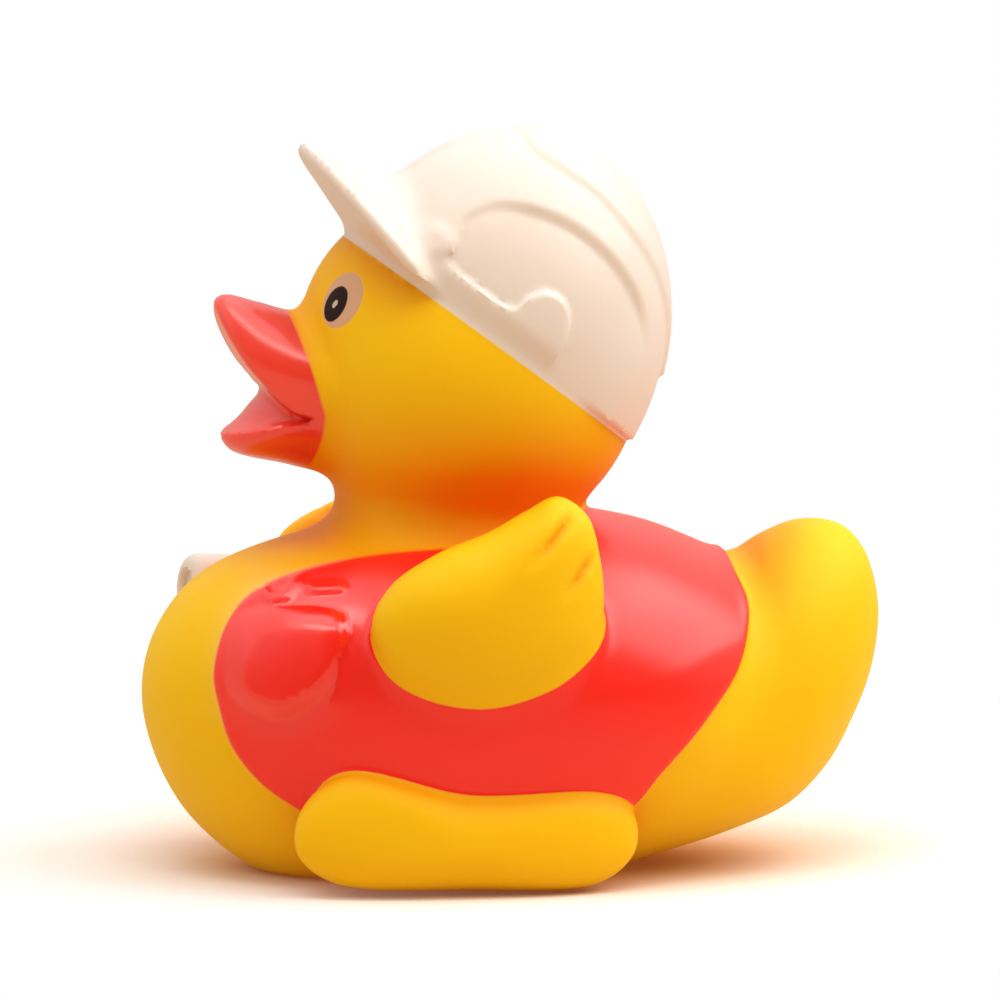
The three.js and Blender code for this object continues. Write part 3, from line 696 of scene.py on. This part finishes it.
# The border of the bill's paint, from the head's middle: it leans above one height and bends below another
BILL_BORDER = 18.1
BORDER_LEAN = 0.28
BORDER_LEANS_ABOVE = -4.0
BORDER_BEND = 0.03
BORDER_BENDS_BELOW = -4.5
BILL_PAINT_LOW = -13.0
BILL_PAINT_HIGH = 11.5


def bill_paint(p):
    x, _, z = (p - HEAD).T
    above = np.maximum(z - BORDER_LEANS_ABOVE, 0.0)
    below = np.maximum(BORDER_BENDS_BELOW - z, 0.0)
    border = BILL_BORDER + BORDER_LEAN * above + BORDER_BEND * below**2
    return np.minimum.reduce([x - border, z - BILL_PAINT_LOW, BILL_PAINT_HIGH - z])


def paint_fields(p):
    form = form_fields(p)
    around = np.minimum.reduce([form["wings"] + WING_EDGE, form["head"], form["feet"], form["roll"]])
    others = np.minimum.reduce([form[name] for name in ("body", "head", "wings")])
    vest = np.minimum(VEST.distance(p[:, 0], p[:, 2]), around - form["body"])
    pocket = np.where(p[:, 1] > 0, CHEST_POCKET.distance(p[:, 0], p[:, 2]) + POCKET_GLOSS_EDGE, -FAR)
    return {
        "paint_hat": np.minimum(hat_frame(p)[2] + EDGE_ROUND, form["body"] - form["hat"]),
        "paint_vest": vest,
        "gloss_pocket": np.minimum(pocket, vest),
        "paint_bill": bill_paint(p),
        "paint_roll": others - form["roll"],
        "paint_eye_white": eye_paint(p, EYE_WHITE_OVAL),
        "paint_eye_black": eye_paint(p, EYE_BLACK_OVAL),
        "paint_eye_dot": eye_paint(p, EYE_DOT_OVAL),
    }


def make_duck():
    points, faces = grow_skin()
    mesh = bpy.data.meshes.new("duck_skin")
    mesh.vertices.add(len(points))
    mesh.vertices.foreach_set("co", (points * MM).ravel())
    mesh.loops.add(faces.size)
    mesh.loops.foreach_set("vertex_index", faces.ravel())
    mesh.polygons.add(len(faces))
    mesh.polygons.foreach_set("loop_start", np.arange(len(faces)) * 4)
    mesh.polygons.foreach_set("use_smooth", np.ones(len(faces), dtype=bool))
    mesh.update(calc_edges=True)
    mesh.set_sharp_from_angle(angle=SHARP_EDGE)
    for name, values in paint_fields(points).items():
        mesh.attributes.new(name, "FLOAT", "POINT").data.foreach_set("value", values)
    duck = bpy.data.objects.new("duck_skin", mesh)
    bpy.context.scene.collection.objects.link(duck)
    duck.data.materials.append(painted_vinyl())
    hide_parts("duck_body")
    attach(duck, "root")


# Parts of materials
def new_material(name):
    material = bpy.data.materials.new(name)
    material.use_nodes = True
    return material, material.node_tree, material.node_tree.nodes["Principled BSDF"]


def srgb(red, green, blue):
    """A colour for a shader from the numbers that a screen shows it by."""
    values = [c / 255.0 for c in (red, green, blue)]
    return tuple(c / 12.92 if c <= 0.04045 else ((c + 0.055) / 1.055) ** 2.4 for c in values) + (1.0,)


def ramp(tree, value, limits):
    """Nought below the first limit, one above the second."""
    node = tree.nodes.new("ShaderNodeMapRange")
    node.interpolation_type = "SMOOTHSTEP"
    node.inputs["From Min"].default_value, node.inputs["From Max"].default_value = limits
    tree.links.new(value, node.inputs["Value"])
    return node.outputs["Result"]


def mixed(tree, factor, first, second, kind="RGBA"):
    """Two colours or two numbers blended by a factor, each a plain value or a socket."""
    mix = tree.nodes.new("ShaderNodeMix")
    mix.data_type = kind
    tree.links.new(factor, mix.inputs["Factor"])
    for socket, value in ((mix.inputs["A"], first), (mix.inputs["B"], second)):
        if isinstance(value, (tuple, float)):
            socket.default_value = value
        else:
            tree.links.new(value, socket)
    return mix.outputs["Result"]


def by_ray(tree, ray, otherwise, colour):
    """One colour for a kind of ray and another for the rest."""
    paths = tree.nodes.new("ShaderNodeLightPath")
    return mixed(tree, paths.outputs[ray], otherwise, colour)


def paint_mask(tree, attribute, softness):
    """One inside a colour's edge and nought outside it."""
    field = tree.nodes.new("ShaderNodeAttribute")
    field.attribute_name = attribute
    return ramp(tree, field.outputs["Fac"], (-softness, softness))


# Paints and plastics
YELLOW = srgb(248, 203, 10)
# Painted shade: the yellow turns this orange where the skin's own occlusion is high, standing in for shade
# and bounced light in creases
PAINTED_CREASE_SHADE = srgb(236, 132, 0)
RED = srgb(252, 36, 24)
BILL_RED = srgb(254, 62, 40)
# Painted shade: a darker red that the bill's paint turns to inside the mouth and in its creases
PAINTED_MOUTH_SHADE = srgb(224, 36, 26)
WHITE = srgb(231, 223, 216)
# Partly painted shade: the eyes' off-white paint is darkened to beige for the shade under the hat's peak
EYE_WHITE_WITH_SHADE = srgb(212, 172, 140)
EYE_DOT_COLOUR = srgb(200, 188, 178)
BLACK = srgb(38, 18, 8)

# Paints in the order they are sprayed, where a row without a colour changes only the gloss
# Each row: attribute, colour, colour of painted shade in creases, roughness, specular level, softness of
# the edge
PAINTS = (
    ("paint_vest", RED, RED, 0.27, 0.55, 0.12),
    ("gloss_pocket", None, None, 0.14, 0.9, 2.0),
    ("paint_bill", BILL_RED, PAINTED_MOUTH_SHADE, 0.24, 1.0, 0.25),
    ("paint_roll", WHITE, WHITE, 0.4, 0.4, 0.15),
    ("paint_hat", WHITE, WHITE, 0.35, 0.4, 0.1),
    ("paint_eye_white", EYE_WHITE_WITH_SHADE, EYE_WHITE_WITH_SHADE, 0.4, 0.2, 0.08),
    ("paint_eye_black", BLACK, BLACK, 0.35, 0.1, 0.06),
    ("paint_eye_dot", EYE_DOT_COLOUR, EYE_DOT_COLOUR, 0.35, 0.2, 0.06),
)
OCCLUSION_SAMPLES = 4
CREASE_REACH = 0.035
CREASE_RANGE = (0.48, 0.98)
VINYL_ROUGHNESS = 0.5
VINYL_SPECULAR = 0.15
VINYL_SUBSURFACE = 0.15
VINYL_SCATTER = (1.0, 0.35, 0.1)
VINYL_SCATTER_DEPTH = 0.003
VINYL_GRAIN = 900.0
VINYL_GRAIN_STRENGTH = 0.04
VINYL_GRAIN_DEPTH = 0.0002
PLASTIC_DARKER = srgb(228, 224, 212)
PLASTIC_LIGHTER = srgb(240, 237, 228)
PLASTIC_GRAIN = 400.0
PLASTIC_ROUGHNESS = 0.4
PLASTIC_SUBSURFACE = 0.2
PLASTIC_SCATTER_DEPTH = 0.002
BRASS_DARKER = srgb(190, 150, 72)
BRASS_LIGHTER = srgb(214, 176, 92)
BRASS_GRAIN = 900.0
BRASS_ROUGHNESS = 0.35


def vinyl_grain(tree, shader):
    noise = tree.nodes.new("ShaderNodeTexNoise")
    noise.inputs["Scale"].default_value = VINYL_GRAIN
    bump = tree.nodes.new("ShaderNodeBump")
    bump.inputs["Strength"].default_value = VINYL_GRAIN_STRENGTH
    bump.inputs["Distance"].default_value = VINYL_GRAIN_DEPTH
    tree.links.new(noise.outputs["Fac"], bump.inputs["Height"])
    tree.links.new(bump.outputs["Normal"], shader.inputs["Normal"])


def painted_vinyl():
    material, tree, shader = new_material("painted_vinyl")
    # Painted shade: the skin's own occlusion darkens each paint towards its shade colour in creases and
    # inside the mouth
    crease = tree.nodes.new("ShaderNodeAmbientOcclusion")
    crease.samples = OCCLUSION_SAMPLES
    crease.only_local = True
    crease.inputs["Distance"].default_value = CREASE_REACH
    openness = ramp(tree, crease.outputs["AO"], CREASE_RANGE)
    colour = mixed(tree, openness, PAINTED_CREASE_SHADE, YELLOW)
    roughness, sheen = VINYL_ROUGHNESS, VINYL_SPECULAR
    for attribute, paint, in_shade, dullness, specular, softness in PAINTS:
        mask = paint_mask(tree, attribute, softness)
        if paint:
            colour = mixed(tree, mask, colour, mixed(tree, openness, in_shade, paint))
        roughness = mixed(tree, mask, roughness, dullness, "FLOAT")
        sheen = mixed(tree, mask, sheen, specular, "FLOAT")
    tree.links.new(colour, shader.inputs["Base Color"])
    tree.links.new(roughness, shader.inputs["Roughness"])
    tree.links.new(sheen, shader.inputs["Specular IOR Level"])
    shader.inputs["Subsurface Weight"].default_value = VINYL_SUBSURFACE
    shader.inputs["Subsurface Radius"].default_value = VINYL_SCATTER
    shader.inputs["Subsurface Scale"].default_value = VINYL_SCATTER_DEPTH
    vinyl_grain(tree, shader)
    return material


def mottled(name, grain, darker, lighter, roughness):
    """A material whose tone wanders a little."""
    material, tree, shader = new_material(name)
    noise = tree.nodes.new("ShaderNodeTexNoise")
    noise.inputs["Scale"].default_value = grain
    tone = mixed(tree, noise.outputs["Fac"], darker, lighter)
    tree.links.new(tone, shader.inputs["Base Color"])
    shader.inputs["Roughness"].default_value = roughness
    return material, shader


def milky_plastic():
    material, shader = mottled(
        "milky_plastic", PLASTIC_GRAIN, PLASTIC_DARKER, PLASTIC_LIGHTER, PLASTIC_ROUGHNESS)
    shader.inputs["Subsurface Weight"].default_value = PLASTIC_SUBSURFACE
    shader.inputs["Subsurface Scale"].default_value = PLASTIC_SCATTER_DEPTH
    return material


def rolled_brass():
    material, shader = mottled("rolled_brass", BRASS_GRAIN, BRASS_DARKER, BRASS_LIGHTER, BRASS_ROUGHNESS)
    shader.inputs["Metallic"].default_value = 1.0
    return material


def finish_squeaker():
    plastic = milky_plastic()
    for name, material in (
        ("squeaker_housing", plastic), ("squeaker_cap", plastic), ("squeaker_reed", rolled_brass())
    ):
        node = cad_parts[name]
        node.data.materials.clear()
        node.data.materials.append(material)


# Stage: floor, light and camera at the photograph's viewing angle
SEEN_LENGTH = 85.0
SEEN_PIXELS = 732
PIXEL = SEEN_LENGTH / SEEN_PIXELS * MM
CAMERA_TURN = math.radians(9)
CAMERA_RISE = math.radians(6.5)
CAMERA_DISTANCE = 1.5
GROUND_PIXEL = (511, 862)
IMAGE_WIDTH = 1000
IMAGE_MIDDLE = IMAGE_WIDTH / 2
SENSOR_WIDTH = 36.0


def make_camera():
    level = math.cos(CAMERA_RISE)
    toward = Vector((math.sin(CAMERA_TURN) * level, math.cos(CAMERA_TURN) * level, math.sin(CAMERA_RISE)))
    right = Vector((-math.cos(CAMERA_TURN), math.sin(CAMERA_TURN), 0.0))
    up = toward.cross(right)
    target = right * (IMAGE_MIDDLE - GROUND_PIXEL[0]) * PIXEL
    target = target + up * (GROUND_PIXEL[1] - IMAGE_MIDDLE) * PIXEL
    data = bpy.data.cameras.new("camera")
    data.sensor_width = SENSOR_WIDTH
    data.lens = SENSOR_WIDTH * CAMERA_DISTANCE / (IMAGE_WIDTH * PIXEL)
    camera = bpy.data.objects.new("camera", data)
    camera.location = target + toward * CAMERA_DISTANCE
    camera.rotation_euler = toward.to_track_quat("Z", "Y").to_euler()
    bpy.context.scene.collection.objects.link(camera)
    bpy.context.scene.camera = camera


# Light: a tent that brightens upwards, open towards the camera, where a dimmer and warmer room shows
LIGHT_AIM = (0.0, 0.0, 0.045)
NEUTRAL = (1.0, 1.0, 1.0)
WARM = (1.0, 0.94, 0.86)
# Each softbox: name, place, size, power and colour
SOFTBOXES = (
    ("top_softbox", (-0.05, -0.05, 0.5), (0.5, 0.5), 0.55, NEUTRAL),
    ("rear_softbox", (-0.4, 0.06, 0.46), (0.6, 0.5), 2.3, NEUTRAL),
    ("front_softbox", (0.12, 0.16, 0.57), (0.45, 0.14), 0.55, WARM),
)
PURE_WHITE = (1.0, 1.0, 1.0, 1.0)
TENT_LOW = (0.62, 0.54, 0.44, 1.0)
TENT_HIGH = (1.02, 1.01, 1.0, 1.0)
TENT_RISE = (0.0, 0.7)
ROOM_LOW = (0.6, 0.36, 0.19, 1.0)
ROOM_HIGH = (0.84, 0.62, 0.43, 1.0)
ROOM_SEEN_IN_GLOSS = (0.15, 0.11, 0.08, 1.0)
TENT_OPENING = (-0.1, 0.8)

# Floor: a painted warm shade and a painted glow under the duck, fading into the white backdrop
FLOOR_SIZE = 4.0
FLOOR_ROUGHNESS = 0.9
FLOOR_COLOUR = (0.95, 0.94, 0.93, 1.0)
FLOOR_BOUNCE = (0.78, 0.6, 0.43, 1.0)
FLOOR_SHADE = (0.68, 0.42, 0.24, 1.0)
FLOOR_GLOW = (0.34, 0.09, 0.01, 1.0)
NO_GLOW = (0.0, 0.0, 0.0, 1.0)
SHADE_REACH = 0.12
SHADE_SIDE = (0.2, 0.75, 0.6)
SHADE_RANGE = (0.3, 0.95)
GLOW_RANGE = (0.0, 0.4)
FLOOR_FADE = (0.05, 0.13)
FLOOR_FADE_MIDDLE = (-0.015, -0.03, 0.0)


def add_softbox(name, place, size, power, colour):
    data = bpy.data.lights.new(name, "AREA")
    data.color = colour
    data.shape = "RECTANGLE"
    data.size, data.size_y = size
    data.energy = power
    light = bpy.data.objects.new(name, data)
    light.location = place
    light.rotation_euler = (Vector(place) - Vector(LIGHT_AIM)).to_track_quat("Z", "Y").to_euler()
    bpy.context.scene.collection.objects.link(light)


def make_world():
    """The tent and the room, with plain white behind the duck for the camera."""
    world = bpy.data.worlds.new("studio")
    bpy.context.scene.world = world
    world.use_nodes = True
    tree = world.node_tree
    place = tree.nodes.new("ShaderNodeTexCoord")
    parts = tree.nodes.new("ShaderNodeSeparateXYZ")
    tree.links.new(place.outputs["Generated"], parts.inputs["Vector"])
    rise = ramp(tree, parts.outputs["Z"], TENT_RISE)
    tent = mixed(tree, rise, TENT_LOW, TENT_HIGH)
    room = by_ray(tree, "Is Glossy Ray", mixed(tree, rise, ROOM_LOW, ROOM_HIGH), ROOM_SEEN_IN_GLOSS)
    surround = mixed(tree, ramp(tree, parts.outputs["Y"], TENT_OPENING), tent, room)
    background = tree.nodes["Background"]
    tree.links.new(by_ray(tree, "Is Camera Ray", surround, PURE_WHITE), background.inputs["Color"])


def shade_floor(tree, shader):
    """A painted shade that leans away from the light, and a painted glow where the duck touches the floor.
    """
    corner = tree.nodes.new("ShaderNodeAmbientOcclusion")
    corner.samples = OCCLUSION_SAMPLES
    corner.inputs["Distance"].default_value = SHADE_REACH
    toward_light = tree.nodes.new("ShaderNodeCombineXYZ")
    for i in range(3):
        toward_light.inputs[i].default_value = SHADE_SIDE[i]
    tree.links.new(toward_light.outputs["Vector"], corner.inputs["Normal"])
    shaded = mixed(tree, ramp(tree, corner.outputs["AO"], SHADE_RANGE), FLOOR_SHADE, FLOOR_COLOUR)
    tree.links.new(by_ray(tree, "Is Camera Ray", FLOOR_BOUNCE, shaded), shader.inputs["Base Color"])
    contact = mixed(tree, ramp(tree, corner.outputs["AO"], GLOW_RANGE), FLOOR_GLOW, NO_GLOW)
    tree.links.new(contact, shader.inputs["Emission Color"])
    shader.inputs["Emission Strength"].default_value = 1.0
    shader.inputs["Roughness"].default_value = FLOOR_ROUGHNESS
    shader.inputs["Specular IOR Level"].default_value = 0.0


def fade_floor(tree, shader):
    """Plain white for the camera away from the duck."""
    glow = tree.nodes.new("ShaderNodeEmission")
    tree.links.new(by_ray(tree, "Is Camera Ray", FLOOR_BOUNCE, PURE_WHITE), glow.inputs["Color"])
    place = tree.nodes.new("ShaderNodeTexCoord")
    distance = tree.nodes.new("ShaderNodeVectorMath")
    distance.operation = "DISTANCE"
    distance.inputs[1].default_value = FLOOR_FADE_MIDDLE
    tree.links.new(place.outputs["Object"], distance.inputs[0])
    blend = tree.nodes.new("ShaderNodeMixShader")
    tree.links.new(ramp(tree, distance.outputs["Value"], FLOOR_FADE), blend.inputs["Fac"])
    tree.links.new(shader.outputs["BSDF"], blend.inputs[1])
    tree.links.new(glow.outputs["Emission"], blend.inputs[2])
    tree.links.new(blend.outputs["Shader"], tree.nodes["Material Output"].inputs["Surface"])


def make_floor():
    bpy.ops.mesh.primitive_plane_add(size=FLOOR_SIZE, location=(0.0, 0.0, 0.0))
    floor = bpy.context.object
    floor.name = "floor"
    material, tree, shader = new_material("pale_floor")
    shade_floor(tree, shader)
    fade_floor(tree, shader)
    floor.data.materials.append(material)


def main():
    bpy.context.scene.view_settings.view_transform = "Standard"
    make_camera()
    make_duck()
    finish_squeaker()
    for softbox in SOFTBOXES:
        add_softbox(*softbox)
    make_world()
    make_floor()


main()
